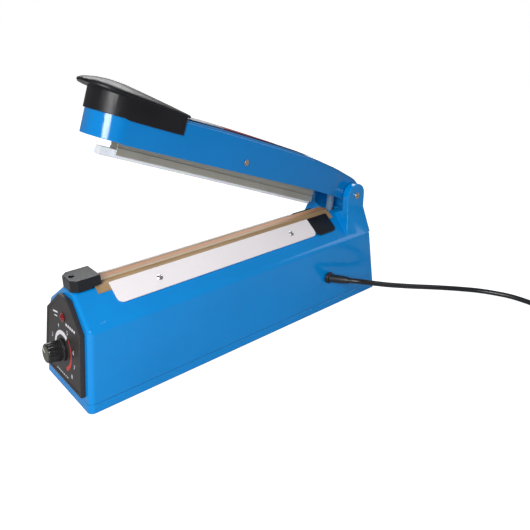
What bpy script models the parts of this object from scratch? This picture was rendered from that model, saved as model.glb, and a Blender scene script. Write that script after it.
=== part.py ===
"""Impulse heat sealer for plastic bags, with its arm standing open.

The sealer lies along X with its hinge at the +X end and its control panel at the -X end. The operator's
side faces -Y. It stands on the plane Z = 0. Sizes are in metres.
"""

import math

import bmesh
import bpy
from mathutils import Matrix, Vector

# ---- driving dimensions ------------------------------------------------------------------------------
GAP = 0.0003  # clearance between pieces that touch
BODY_OFFSET_X = 0.00644  # puts the origin under the middle of the whole sealer, its knob included

BODY_FLOOR_Z = 0.0010  # lower edge of the body shell
CREASE_Z = 0.0641  # where the side walls turn in to the sloping shoulders
RIDGE_Z = 0.0845  # flat top that carries the heating strip
BODY_BOTTOM = (-0.1600, 0.1600, 0.0400)  # x from, x to, half width at the lower edge
BODY_CREASE = (-0.1510, 0.1520, 0.0356)
BODY_RIDGE = (-0.1481, 0.1493, 0.0086)
WALL = 0.0022
PANEL_CORNER = 0.0044  # rounding of the two upright corners at the panel end
EDGE_SHARE = 0.5  # rounding of the other edges, as a share of it
SHOULDER_SLOPE = math.atan2(RIDGE_Z - CREASE_Z, BODY_CREASE[2] - BODY_RIDGE[2])

PIVOT = Vector((0.1385, 0.0, 0.1023))  # hinge pin of the arm
EAR_OUTER = 0.0260
EAR_INNER = 0.0190
EAR_RADIUS = 0.0115
PIN_RADIUS = 0.0020

ARM_REST_TILT = math.radians(20.57)
ARM_CLOSING = math.radians(19.3)
ARM_HALF_WIDTH = 0.0210
ARM_WALL = 0.0020
NOSE_CENTRE_X = -0.2560

BAR_PIVOT = (-0.1454, 0.0043)  # on the arm, x and z from the hinge pin
BAR_DEPTH = 0.0223  # from the bar's pivot down to its sealing face
BAR_REST_TILT = ARM_CLOSING + math.radians(2.25)

ROD_PIN = (-0.00733, -0.00040)  # on the arm, x and z from the hinge pin
ROD_LEAN = math.radians(8.0)
ROD_RADIUS = 0.0036

PANEL_LEAN = math.atan2(BODY_CREASE[0] - BODY_BOTTOM[0], CREASE_Z)
PANEL_THICKNESS = 0.0042
KNOB_HEIGHT = 0.0370

CORD_RADIUS = 0.0025
CORD_EXIT = Vector((0.0901, -0.0378, 0.0332))
CORD_YAW = math.radians(25)  # the sleeve bends from square to the wall towards the hinge end
CORD_LIFT = math.radians(4)
SLEEVE_LENGTH = 0.0190
COIL_CENTRE = (0.2690, -0.2170)
COIL_RADIUS = 0.0330
COIL_SECTION = (0.0076, 0.0051)  # half width and half height of the wound turns


# ---- helpers -----------------------------------------------------------------------------------------
def clear_scene():
    for item in list(bpy.data.objects):
        bpy.data.objects.remove(item, do_unlink=True)


def material(name, colour, roughness, metallic=0.0):
    made = bpy.data.materials.get(name) or bpy.data.materials.new(name)
    made.use_nodes = True
    shader = made.node_tree.nodes["Principled BSDF"]
    shader.inputs["Base Color"].default_value = (*colour, 1.0)
    shader.inputs["Roughness"].default_value = roughness
    shader.inputs["Metallic"].default_value = metallic
    return made


def empty(name, parent=None, location=(0, 0, 0), rotation=(0, 0, 0)):
    made = bpy.data.objects.new(name, None)
    bpy.context.scene.collection.objects.link(made)
    made.parent = parent
    made.location = location
    made.rotation_euler = rotation
    return made


def finish(name, shape, finish_material, parent, location=(0, 0, 0), rotation=(0, 0, 0)):
    """Turns a bmesh into an object under its parent, shaded smooth across its gentle edges."""
    bmesh.ops.recalc_face_normals(shape, faces=shape.faces)
    mesh = bpy.data.meshes.new(name)
    shape.to_mesh(mesh)
    shape.free()
    if finish_material:
        mesh.materials.append(finish_material)
    mesh.shade_smooth()
    mesh.set_sharp_from_angle(angle=math.radians(38))
    made = bpy.data.objects.new(name, mesh)
    bpy.context.scene.collection.objects.link(made)
    made.parent = parent
    made.location = location
    made.rotation_euler = rotation
    return made


def helper(name, shape, parent, location=(0, 0, 0), rotation=(0, 0, 0)):
    """A hidden solid that only cuts or adds to another."""
    made = finish(name, shape, None, parent, location, rotation)
    made.hide_render = True
    made.display_type = "WIRE"
    return made


def boolean(target, other, operation="DIFFERENCE"):
    step = target.modifiers.new(operation.lower() + "_" + other.name, "BOOLEAN")
    step.operation = operation
    step.object = other
    step.solver = "EXACT"


def cuboid(low, high):
    """Box between two corners."""
    shape = bmesh.new()
    bmesh.ops.create_cube(shape, size=1.0)
    low, high = Vector(low), Vector(high)
    size = high - low
    bmesh.ops.scale(shape, vec=size, verts=shape.verts)
    bmesh.ops.translate(shape, vec=low + size / 2, verts=shape.verts)
    return shape


def rounded(shape, width, segments=2, only=None):
    edges = [edge for edge in shape.edges if only is None or only(edge)]
    bmesh.ops.bevel(shape, geom=edges, offset=width, segments=segments, profile=0.5, affect="EDGES",
                    clamp_overlap=True)
    return shape


def turned(profile, segments=24):
    """Solid of revolution about Z. The profile lists (radius, z) from the top down its outer side."""
    shape = bmesh.new()
    rings = []
    for radius, height in profile:
        if radius < 1e-7:
            rings.append([shape.verts.new((0, 0, height))])
            continue
        turns = [2 * math.pi * step / segments for step in range(segments)]
        rings.append([shape.verts.new((radius * math.cos(t), radius * math.sin(t), height)) for t in turns])
    for upper, lower in zip(rings, rings[1:]):
        for step in range(segments):
            after = (step + 1) % segments
            corners = [upper[step % len(upper)], upper[after % len(upper)],
                       lower[after % len(lower)], lower[step % len(lower)]]
            shape.faces.new(list(dict.fromkeys(corners)))
    for ring in (rings[0], rings[-1]):
        if len(ring) > 1:
            shape.faces.new(ring)
    return shape


def ring(outer, inner, low, high, segments=24):
    """Washer or tube along Z."""
    shape = bmesh.new()
    loops = []
    for radius, height in ((outer, low), (outer, high), (inner, high), (inner, low)):
        turns = [2 * math.pi * step / segments for step in range(segments)]
        loops.append([shape.verts.new((radius * math.cos(t), radius * math.sin(t), height)) for t in turns])
    for here, there in zip(loops, loops[1:] + loops[:1]):
        for step in range(segments):
            after = (step + 1) % segments
            shape.faces.new([here[step], here[after], there[after], there[step]])
    return shape


def prism(outline, low, high, axis="Z"):
    """Extrudes a flat outline: axis Y takes (x, z) points, Z takes (x, y) and X takes (y, z)."""
    def place(point, level):
        if axis == "Y":
            return (point[0], level, point[1])
        if axis == "X":
            return (level, point[0], point[1])
        return (point[0], point[1], level)

    shape = bmesh.new()
    near = [shape.verts.new(place(point, low)) for point in outline]
    far = [shape.verts.new(place(point, high)) for point in outline]
    shape.faces.new(near)
    shape.faces.new(far)
    for step in range(len(outline)):
        after = (step + 1) % len(outline)
        shape.faces.new([near[step], near[after], far[after], far[step]])
    return shape


def loft(sections):
    """Skins closed sections of equal point count, with flat end caps."""
    shape = bmesh.new()
    loops = [[shape.verts.new(point) for point in section] for section in sections]
    count = len(loops[0])
    for here, there in zip(loops, loops[1:]):
        for step in range(count):
            after = (step + 1) % count
            shape.faces.new([here[step], here[after], there[after], there[step]])
    shape.faces.new(loops[0])
    shape.faces.new(loops[-1])
    return shape


def hull(points):
    shape = bmesh.new()
    for point in points:
        shape.verts.new(point)
    result = bmesh.ops.convex_hull(shape, input=shape.verts)
    inside = [item for item in result["geom_interior"] if isinstance(item, bmesh.types.BMVert)]
    bmesh.ops.delete(shape, geom=inside, context="VERTS")
    bmesh.ops.dissolve_limit(shape, angle_limit=math.radians(1), verts=shape.verts, edges=shape.edges)
    return shape


def arc(centre, radius, start, end, steps):
    """Points on an arc, angles in degrees."""
    angles = [math.radians(start + (end - start) * step / steps) for step in range(steps + 1)]
    return [(centre[0] + radius * math.cos(a), centre[1] + radius * math.sin(a)) for a in angles]


def smooth_route(points, spacing):
    """Even points along the curve that passes smoothly through the given ones."""
    points = [Vector(point) for point in points]
    ends = [2 * points[0] - points[1]] + points + [2 * points[-1] - points[-2]]
    fine = []
    for before, here, there, beyond in zip(ends, ends[1:], ends[2:], ends[3:]):
        for step in range(24):
            t = step / 24
            fine.append(0.5 * (2 * here + (there - before) * t
                               + (2 * before - 5 * here + 4 * there - beyond) * t * t
                               + (3 * here - before - 3 * there + beyond) * t ** 3))
    fine.append(points[-1])
    total = sum((b - a).length for a, b in zip(fine, fine[1:]))
    count = max(2, round(total / spacing))
    route, walked, index = [fine[0]], 0.0, 0
    for step in range(1, count):
        target = total * step / count
        while walked + (fine[index + 1] - fine[index]).length < target:
            walked += (fine[index + 1] - fine[index]).length
            index += 1
        leg = fine[index + 1] - fine[index]
        route.append(fine[index] + leg * ((target - walked) / leg.length))
    route.append(fine[-1])
    return route


def tube(name, route, radius, finish_material, parent, sides=2):
    curve = bpy.data.curves.new(name, "CURVE")
    curve.dimensions = "3D"
    curve.bevel_depth = radius
    curve.bevel_resolution = sides
    curve.use_fill_caps = True
    spline = curve.splines.new("POLY")
    spline.points.add(len(route) - 1)
    for point, place in zip(spline.points, route):
        point.co = (*place, 1.0)
    curve.materials.append(finish_material)
    made = bpy.data.objects.new(name, curve)
    bpy.context.scene.collection.objects.link(made)
    made.parent = parent
    return made


def coil_spring(radius, wire, height, turns, per_turn=10, sides=6):
    """Closed helical wire about Z, standing on Z = 0."""
    steps = int(turns * per_turn)
    rise = height - 2 * wire
    sections = []
    for step in range(steps + 1):
        angle = 2 * math.pi * step / per_turn
        centre = Vector((radius * math.cos(angle), radius * math.sin(angle), wire + rise * step / steps))
        outward = Vector((math.cos(angle), math.sin(angle), 0))
        around = [2 * math.pi * side / sides for side in range(sides)]
        upward = Vector((0, 0, 1))
        sections.append([centre + wire * (outward * math.cos(a) + upward * math.sin(a)) for a in around])
    return loft(sections)


def screw(head_radius, head_height, shank_radius, length, segments=16):
    """Pan head screw along Z: the head stands on Z = 0 and its shank runs down. The head has a cross slot."""
    shape = turned([(0.0, head_height), (head_radius * 0.62, head_height * 0.92),
                    (head_radius, head_height * 0.35), (head_radius, 0.0), (shank_radius, 0.0),
                    (shank_radius, -length + shank_radius), (0.0, -length)], segments)
    return shape


def cross_slot(head_radius, head_height):
    """Cutter for the cross slot of a screw's head."""
    reach, half = head_radius * 0.62, head_radius * 0.14
    outline = [(reach, -half), (reach, half), (half, half), (half, reach), (-half, reach), (-half, half),
               (-reach, half), (-reach, -half), (-half, -half), (-half, -reach), (half, -reach),
               (half, -half)]
    return prism(outline, head_height * 0.45, head_height * 2)


# ---- finishes ----------------------------------------------------------------------------------------
clear_scene()
BLUE = material("blue_paint", (0.0, 0.17, 0.56), 0.25)
BLACK = material("black_plastic", (0.02, 0.02, 0.022), 0.4)
PANEL = material("panel_plastic", (0.045, 0.04, 0.036), 0.5)
RED = material("red_lens", (0.35, 0.01, 0.015), 0.15)
STEEL = material("zinc_steel", (0.75, 0.75, 0.76), 0.3, 1.0)
BRASS = material("brass", (0.72, 0.50, 0.25), 0.3, 1.0)
ALUMINIUM = material("aluminium", (0.72, 0.70, 0.64), 0.35, 1.0)
PLATE = material("white_plate", (0.88, 0.87, 0.88), 0.3)
CLOTH = material("ptfe_cloth", (0.33, 0.22, 0.11), 0.45)
SILICONE = material("silicone", (0.78, 0.80, 0.86), 0.4)
NYLON = material("nylon", (0.35, 0.48, 0.60), 0.35)
RUBBER = material("rubber", (0.02, 0.02, 0.02), 0.8)
NICHROME = material("nichrome", (0.65, 0.40, 0.25), 0.35, 1.0)
LAMINATE = material("laminate", (0.04, 0.18, 0.08), 0.6)
CORE = material("core_steel", (0.18, 0.18, 0.19), 0.5, 1.0)
COPPER = material("copper_winding", (0.60, 0.25, 0.12), 0.4, 1.0)
CORD = material("cord_pvc", (0.02, 0.02, 0.022), 0.45)

body = empty("body_frame", location=(BODY_OFFSET_X, 0, 0))


# ---- body shell --------------------------------------------------------------------------------------
def frustum(bottom, crease, ridge, floor_z, crease_z, ridge_z):
    """House-shaped block: three level outlines, each (x from, x to, half width)."""
    shape = bmesh.new()
    levels = []
    for (x_from, x_to, half), z in ((bottom, floor_z), (crease, crease_z), (ridge, ridge_z)):
        corners = [(x_from, -half, z), (x_to, -half, z), (x_to, half, z), (x_from, half, z)]
        levels.append([shape.verts.new(corner) for corner in corners])
    for lower, upper in zip(levels, levels[1:]):
        for step in range(4):
            after = (step + 1) % 4
            shape.faces.new([lower[step], lower[after], upper[after], upper[step]])
    shape.faces.new(levels[0])
    shape.faces.new(levels[-1])
    return shape


def body_shell():
    outer = frustum(BODY_BOTTOM, BODY_CREASE, BODY_RIDGE, BODY_FLOOR_Z, CREASE_Z, RIDGE_Z)
    bmesh.ops.recalc_face_normals(outer, faces=outer.faces)
    share = outer.edges.layers.float.new("bevel_weight_edge")
    for edge in outer.edges:
        low, high = sorted(vertex.co.z for vertex in edge.verts)
        at_panel = max(vertex.co.x for vertex in edge.verts) < 0
        if low < CREASE_Z - 0.001 < high:
            edge[share] = 1.0 if at_panel else EDGE_SHARE
        elif high > CREASE_Z - 0.001:
            edge[share] = EDGE_SHARE
    shell = finish("body_shell", outer, BLUE, body)
    corners = shell.modifiers.new("corners", "BEVEL")
    corners.limit_method = "WEIGHT"
    corners.width = PANEL_CORNER
    corners.segments = 4
    corners.use_clamp_overlap = True

    for side, word in ((-1, "front"), (1, "rear")):
        low, high = sorted((side * EAR_INNER, side * EAR_OUTER))
        outline = [(PIVOT.x + EAR_RADIUS, 0.070)]
        outline += arc((PIVOT.x, PIVOT.z), EAR_RADIUS, 0, 180, 12)
        outline += [(PIVOT.x - EAR_RADIUS, 0.070)]
        ear = prism(outline, low, high, "Y")
        boolean(shell, helper("ear_" + word, ear, body), "UNION")
        gusset = [(0.1207, 0.0322, 0.0664), (0.1265, 0.0100, 0.0832), (0.1270, EAR_OUTER, 0.0895),
                  (0.1270, EAR_INNER + 0.0010, 0.0880), (0.1500, EAR_OUTER, 0.0890),
                  (0.1500, EAR_INNER + 0.0010, 0.0865), (0.1519, 0.0354, 0.0641), (0.1494, 0.0120, 0.0780),
                  (0.1300, 0.0300, 0.0620), (0.1300, 0.0100, 0.0700)]
        boolean(shell, helper("gusset_" + word, hull([(x, side * y, z) for x, y, z in gusset]), body),
                "UNION")
    cross_wall = cuboid((0.1452, -EAR_INNER - 0.0005, 0.0740), (0.1490, EAR_INNER + 0.0005, 0.0910))
    boolean(shell, helper("hinge_cross_wall", cross_wall, body), "UNION")

    inner = frustum((BODY_BOTTOM[0] + WALL + 0.0002, BODY_BOTTOM[1] - WALL - 0.0002, BODY_BOTTOM[2] - WALL),
                    (BODY_CREASE[0] + WALL, BODY_CREASE[1] - WALL, BODY_CREASE[2] - WALL - 0.0002),
                    (BODY_RIDGE[0] + WALL, BODY_RIDGE[1] - WALL, BODY_RIDGE[2] - 0.0010),
                    -0.0010, CREASE_Z - 0.0010, RIDGE_Z - WALL - 0.0002)
    boolean(shell, helper("body_hollow", inner, body))
    return shell


shell = body_shell()
SCREW_POSTS = [(x, y) for x in (-0.138, 0.112) for y in (-0.0285, 0.0285)]
for number, (x, y) in enumerate(SCREW_POSTS, 1):
    post = turned([(0.0038, 0.0675), (0.0038, 0.0062)], 12)
    boolean(shell, helper("post_%d" % number, post, body, (x, y, 0)), "UNION")
    bore = turned([(0.0016, 0.0200), (0.0016, 0.0)], 10)
    boolean(shell, helper("post_bore_%d" % number, bore, body, (x, y, 0)))

# holes through the shell: pin, rod slot, clamp screws, cord, panel parts and end block screw
pin_hole = turned([(PIN_RADIUS + 0.00012, 0.030), (PIN_RADIUS + 0.00012, -0.030)], 20)
boolean(shell, helper("pin_hole", pin_hole, body, PIVOT, (math.pi / 2, 0, 0)))
boolean(shell, helper("rod_slot", cuboid((0.1240, -0.0046, 0.0700), (0.1362, 0.0046, 0.0900)), body))
CLAMP_SCREWS = [(x, side) for side in (-1, 1) for x in (-0.0816, 0.0590)]


def on_shoulder(x, side, along, height=0.0):
    """A point on a sloping shoulder: distance down from the ridge's edge, and height above the paint."""
    y = side * (BODY_RIDGE[2] + along * math.cos(SHOULDER_SLOPE) + height * math.sin(SHOULDER_SLOPE))
    z = RIDGE_Z - along * math.sin(SHOULDER_SLOPE) + height * math.cos(SHOULDER_SLOPE)
    return Vector((x, y, z))


SCREW_DOWN = 0.0100  # clamp screws, measured down the shoulder
for number, (x, side) in enumerate(CLAMP_SCREWS, 1):
    bore = turned([(0.0016, 0.006), (0.0016, -0.006)], 10)
    tilt = (-side * SHOULDER_SLOPE, 0, 0)
    boolean(shell, helper("clamp_bore_%d" % number, bore, body, on_shoulder(x, side, SCREW_DOWN), tilt))
cord_hole = turned([(0.0037, 0.006), (0.0037, -0.006)], 16)
boolean(shell, helper("cord_hole", cord_hole, body, CORD_EXIT, (-math.pi / 2, 0, 0)))


# ---- panel end ---------------------------------------------------------------------------------------
# panel_frame: origin where the knob's axis meets the end wall, +Z out of the wall, +Y up it
PANEL_ORIGIN_X = BODY_BOTTOM[0] + KNOB_HEIGHT * math.tan(PANEL_LEAN)
panel_turn = Matrix(((0, math.sin(PANEL_LEAN), -math.cos(PANEL_LEAN)),
                     (-1, 0, 0),
                     (0, math.cos(PANEL_LEAN), math.sin(PANEL_LEAN))))
panel_frame = empty("panel_frame", body, (PANEL_ORIGIN_X, 0, KNOB_HEIGHT), panel_turn.to_euler())
LAMP_UP = 0.0268
boolean(shell, helper("pot_hole", turned([(0.0105, 0.004), (0.0105, -0.006)], 20), panel_frame))
boolean(shell, helper("lamp_hole", turned([(0.0050, 0.004), (0.0050, -0.006)], 16), panel_frame,
                      (0, LAMP_UP, 0)))

PANEL_OUTLINE = [(-0.0323, -0.0247), (0.0323, -0.0247), (0.0290, 0.0243), (0.0078, 0.0428),
                 (-0.0078, 0.0428), (-0.0290, 0.0243)]


def control_panel():
    """Hexagonal moulded plate with a raised rim. It stands proud of the end wall."""
    shape = prism(PANEL_OUTLINE, GAP, PANEL_THICKNESS)
    bmesh.ops.recalc_face_normals(shape, faces=shape.faces)
    rounded(shape, 0.0005, 2, lambda edge: min(v.co.z for v in edge.verts) > PANEL_THICKNESS - 1e-6)
    panel = finish("control_panel", shape, PANEL, panel_frame)
    inner = [(x * 0.935, (y - 0.006) * 0.935 + 0.006) for x, y in PANEL_OUTLINE]
    boolean(panel, helper("panel_recess", prism(inner, PANEL_THICKNESS - 0.0005, PANEL_THICKNESS + 0.001),
                          panel_frame))
    boolean(panel, helper("panel_pot_hole", turned([(0.0039, 0.01), (0.0039, -0.01)], 16), panel_frame))
    lamp_hole = turned([(0.0030, 0.01), (0.0030, -0.01)], 16)
    boolean(panel, helper("panel_lamp_hole", lamp_hole, panel_frame, (0, LAMP_UP, 0)))


control_panel()
PANEL_FACE = PANEL_THICKNESS - 0.0005

lamp = turned([(0.0, 0.0022), (0.0014, 0.0019), (0.0024, 0.0011), (0.0028, 0.0006), (0.0036, 0.0006),
               (0.0036, GAP), (0.0026, GAP), (0.0026, -0.0090), (0.0, -0.0090)], 20)
finish("indicator_lamp", lamp, RED, panel_frame, (0, LAMP_UP, PANEL_FACE))

pot = turned([(0.0036, 0.0038), (0.0036, 0.0), (0.0090, -0.0004), (0.0090, -0.0092), (0.0, -0.0092)], 20)
pot_body = finish("potentiometer", pot, STEEL, panel_frame)
boolean(pot_body, helper("pot_bore", turned([(0.0024, 0.0100), (0.0024, -0.0060)], 16), panel_frame))
shaft = turned([(0.0, 0.0122), (0.0024, 0.0120), (0.0024, 0.0042), (0.0020, 0.0040), (0.0020, -0.0050),
                (0.0, -0.0050)], 16)
finish("knob_shaft", shaft, BRASS, panel_frame)


def timer_knob():
    """Fluted knob on the potentiometer's shaft, with a flange at its foot and a pointer line."""
    flutes, grip, depth = 20, 0.0081, 0.0005
    outline = []
    for step in range(flutes * 2):
        angle = math.pi * step / flutes
        radius = grip - (depth if step % 2 else 0.0)
        outline.append((radius, angle))
    base, top = 0.0005, 0.0130

    def fluted(shape, scale, height):
        return [shape.verts.new((scale * r * math.cos(a), scale * r * math.sin(a), height))
                for r, a in outline]

    def plain(shape, radius, height):
        return [shape.verts.new((radius * math.cos(a), radius * math.sin(a), height)) for _, a in outline]

    shape = bmesh.new()
    loops = [plain(shape, 0.0088, base), plain(shape, 0.0088, base + 0.0014),
             fluted(shape, 1.0, base + 0.0020), fluted(shape, 0.925, top - 0.0007), plain(shape, 0.0068, top)]
    count = len(outline)
    for here, there in zip(loops, loops[1:]):
        for step in range(count):
            after = (step + 1) % count
            shape.faces.new([here[step], here[after], there[after], there[step]])
    shape.faces.new(loops[0])
    shape.faces.new(loops[-1])
    knob = finish("timer_knob", shape, BLACK, panel_frame, (0, 0, PANEL_FACE))
    bore = turned([(0.0027, 0.0090), (0.0027, -0.002)], 16)
    boolean(knob, helper("knob_bore", bore, panel_frame, (0, 0, PANEL_FACE)))


timer_knob()


# ---- base plate, feet and screws ---------------------------------------------------------------------
FOOT_SPOTS = [(x, y) for x in (-0.120, 0.128) for y in (-0.024, 0.024)]
BASE_LOW, BASE_HIGH = 0.0030, 0.0045
base_blank = rounded(cuboid((-0.1563, -0.0370, BASE_LOW), (0.1563, 0.0370, BASE_HIGH)), 0.004, 3,
                     lambda edge: abs(edge.verts[0].co.z - edge.verts[1].co.z) > 1e-4)
base = finish("base_plate", base_blank, STEEL, body)
foot = turned([(0.0, 0.0075), (0.0022, 0.0068), (0.0026, 0.0055), (0.0017, 0.0048), (0.0017, BASE_LOW - GAP),
               (0.0068, BASE_LOW - GAP), (0.0075, 0.0020), (0.0075, 0.0004), (0.0070, 0.0), (0.0, 0.0)], 20)
foot_mesh = None
for number, (x, y) in enumerate(FOOT_SPOTS, 1):
    if foot_mesh is None:
        foot_mesh = finish("rubber_foot_1", foot, RUBBER, body, (x, y, 0)).data
    else:
        copy = bpy.data.objects.new("rubber_foot_%d" % number, foot_mesh)
        bpy.context.scene.collection.objects.link(copy)
        copy.parent = body
        copy.location = (x, y, 0)
    boolean(base, helper("foot_hole_%d" % number, turned([(0.0021, 0.01), (0.0021, 0.0)], 14), body,
                         (x, y, 0)))


def add_screw(name, head_radius, head_height, shank_radius, length, parent, place, rotation=(0, 0, 0),
              finish_material=STEEL):
    made = finish(name, screw(head_radius, head_height, shank_radius, length), finish_material, parent, place,
                  rotation)
    boolean(made, helper(name + "_slot", cross_slot(head_radius, head_height), parent, place, rotation))
    return made


for number, (x, y) in enumerate(SCREW_POSTS, 1):
    boolean(base, helper("base_bore_%d" % number, turned([(0.0016, 0.01), (0.0016, 0.0)], 12), body,
                         (x, y, 0)))
    add_screw("base_screw_%d" % number, 0.0028, 0.0014, 0.0012, 0.0110, body, (x, y, BASE_LOW - GAP),
              (math.pi, 0, 0))


# ---- electrics inside --------------------------------------------------------------------------------
def transformer():
    """Laminated core standing on the base plate, its winding through both windows, and a steel strap."""
    x, half_x, half_y, low, high = -0.020, 0.0240, 0.0140, 0.0052, 0.0452
    core = finish("transformer_core", cuboid((x - half_x, -half_y, low), (x + half_x, half_y, high)), CORE,
                  body)
    for side in (-1, 1):
        x_from, x_to = sorted((x + side * 0.0080, x + side * 0.0160))
        window = cuboid((x_from, -0.02, low + 0.0080), (x_to, 0.02, high - 0.0080))
        boolean(core, helper("core_window_%d" % (side + 1), window, body))
    coil = rounded(cuboid((x - 0.0157, -0.0200, low + 0.0083), (x + 0.0157, 0.0200, high - 0.0083)), 0.0015,
                   1)
    winding = finish("transformer_coil", coil, COPPER, body)
    leg = cuboid((x - 0.0083, -0.0143, 0.0), (x + 0.0083, 0.0143, 0.06))
    boolean(winding, helper("core_leg", leg, body))
    outer = [(x - half_x - 0.0120, low - 0.0004), (x - half_x - GAP, low - 0.0004),
             (x - half_x - GAP, high + GAP), (x + half_x + GAP, high + GAP),
             (x + half_x + GAP, low - 0.0004), (x + half_x + 0.0120, low - 0.0004),
             (x + half_x + 0.0120, low + 0.0008), (x + half_x + 0.0015, low + 0.0008),
             (x + half_x + 0.0015, high + 0.0015), (x - half_x - 0.0015, high + 0.0015),
             (x - half_x - 0.0015, low + 0.0008), (x - half_x - 0.0120, low + 0.0008)]
    finish("transformer_strap", prism(outer, -0.0080, 0.0080, "Y"), STEEL, body)


transformer()


def timer_board():
    """Circuit board on its edge behind the panel, with a relay and a capacitor soldered to it."""
    board = finish("timer_board", cuboid((-0.1240, -0.0240, 0.0075), (-0.1224, 0.0240, 0.0500)), LAMINATE,
                   body)
    relay = rounded(cuboid((-0.1230, -0.0190, 0.0120), (-0.1080, -0.0010, 0.0300)), 0.0008, 1)
    boolean(board, helper("relay_block", relay, body), "UNION")
    can = turned([(0.0, 0.0170), (0.0048, 0.0170), (0.0052, 0.0165), (0.0052, 0.0), (0.0, 0.0)], 16)
    boolean(board, helper("capacitor", can, body, (-0.1230, 0.0120, 0.0240), (0, math.pi / 2, 0)), "UNION")


timer_board()

# push rod frame: origin at the arm's rod pin at rest, -Z down along the leaning rod
pin_x = PIVOT.x + ROD_PIN[0] * math.cos(ARM_REST_TILT) + ROD_PIN[1] * math.sin(ARM_REST_TILT)
pin_z = PIVOT.z - ROD_PIN[0] * math.sin(ARM_REST_TILT) + ROD_PIN[1] * math.cos(ARM_REST_TILT)
rod_frame = empty("rod_frame", body, (pin_x, 0, pin_z), (0, ROD_LEAN, 0))
ROD_LENGTH = 0.0520


def push_rod():
    """Moulded nylon rod. Its flat head has an eye for the arm's pin, and a collar carries the spring."""
    profile = [(0.0, 0.0036), (0.0026, 0.0034), (ROD_RADIUS, 0.0024), (ROD_RADIUS, -0.0265),
               (0.0056, -0.0270), (0.0056, -0.0295), (0.0029, -0.0295), (0.0029, -ROD_LENGTH + 0.0020),
               (0.0014, -ROD_LENGTH), (0.0, -ROD_LENGTH)]
    rod = finish("push_rod", turned(profile, 18), NYLON, rod_frame)
    eye = turned([(0.00155, 0.01), (0.00155, -0.01)], 14)
    boolean(rod, helper("rod_eye", eye, rod_frame, (0, 0, 0), (math.pi / 2, 0, 0)))


push_rod()
SPRING_TOP, SPRING_BOTTOM = -0.0298, -0.0440
spring = coil_spring(0.0046, 0.0005, SPRING_TOP - SPRING_BOTTOM, 4.5)
finish("return_spring", spring, STEEL, rod_frame, (0, 0, SPRING_BOTTOM))

# switch bracket: shelf that the return spring stands on, with a wall down to the base plate
shelf_z = pin_z + (SPRING_BOTTOM - 0.0016) * math.cos(ROD_LEAN)
rod_x = pin_x + SPRING_BOTTOM * math.sin(ROD_LEAN)


def switch_group():
    outline = [(rod_x - 0.0120, shelf_z - 0.0012), (rod_x + 0.0115, shelf_z - 0.0012),
               (rod_x + 0.0115, BASE_HIGH + 0.0015), (rod_x + 0.0040, BASE_HIGH + 0.0015),
               (rod_x + 0.0040, BASE_HIGH + GAP), (rod_x + 0.0127, BASE_HIGH + GAP),
               (rod_x + 0.0127, shelf_z), (rod_x - 0.0120, shelf_z)]
    bracket = finish("switch_bracket", prism(outline, -0.0080, 0.0080, "Y"), STEEL, body)
    hole = turned([(0.0036, 0.01), (0.0036, -0.01)], 16)
    boolean(bracket, helper("rod_guide_hole", hole, rod_frame, (0, 0, SPRING_BOTTOM)))
    low = shelf_z - 0.0250
    pivot = (rod_x + 0.0080, 0.0, low + 0.0125)
    block = rounded(cuboid((rod_x - 0.0110, -0.0034, low), (rod_x + 0.0112, 0.0034, low + 0.0105)), 0.0006, 1)
    switch = finish("micro_switch", block, BLACK, body)
    button = turned([(0.0, 0.0024), (0.0008, 0.0022), (0.0009, -0.0020), (0.0, -0.0020)], 12)
    boolean(switch, helper("switch_button", button, body, (pivot[0] - 0.0040, 0, low + 0.0105)), "UNION")
    for side in (-1, 1):
        y_from, y_to = sorted((side * 0.0024, side * 0.0032))
        cheek = cuboid((pivot[0] - 0.0012, y_from, low + 0.0090),
                       (pivot[0] + 0.0012, y_to, pivot[2] + 0.0012))
        boolean(switch, helper("switch_cheek_%d" % (side + 1), cheek, body), "UNION")
    tip = pin_z - ROD_LENGTH * math.cos(ROD_LEAN)
    tip_x = pin_x - ROD_LENGTH * math.sin(ROD_LEAN)
    reach = pivot[0] - tip_x + 0.0030
    rise = math.atan2(tip - 0.0010 - pivot[2], pivot[0] - tip_x)
    lever = finish("switch_lever", cuboid((-reach, -0.0019, -0.0003), (0.0, 0.0019, 0.0003)), STEEL, body,
                   pivot, (0, rise, 0))
    trunnion = turned([(0.0005, 0.0022), (0.0005, -0.0022)], 10)
    boolean(lever, helper("lever_pin", trunnion, body, pivot, (math.pi / 2, 0, 0)), "UNION")


switch_group()


# ---- sealing strip on the ridge ----------------------------------------------------------------------
STRIP_FROM, STRIP_TO = -0.1310, 0.1190
STRIP_HALF = 0.0052
STRIP_TOP = 0.0866
strip = rounded(cuboid((STRIP_FROM + 0.005, -STRIP_HALF, RIDGE_Z + GAP),
                       (STRIP_TO - 0.002, STRIP_HALF, STRIP_TOP)), 0.0004, 1)
finish("heater_strip", strip, BLACK, body)
wire = cuboid((STRIP_FROM + 0.007, -0.0010, STRIP_TOP + 0.00008),
              (STRIP_TO - 0.004, 0.0010, STRIP_TOP + 0.00024))
finish("heating_wire", wire, NICHROME, body)
CLOTH_TOP = STRIP_TOP + 0.00050


def cloth_section(lift, reach):
    """Half section of the cloth over strip and shoulder: (y, z) points from the crest to its lower edge."""
    crest = CLOTH_TOP + lift
    edge = on_shoulder(0, 1, 0.0004, 0.00035 + lift)
    foot = on_shoulder(0, 1, reach, 0.00035 + lift)
    return [(0.0, crest), (STRIP_HALF - 0.0012, crest), (STRIP_HALF + 0.0001 + lift, crest - 0.0004),
            (STRIP_HALF + 0.0006 + lift, crest - 0.0014), (edge.y, edge.z), (foot.y, foot.z)]


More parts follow.
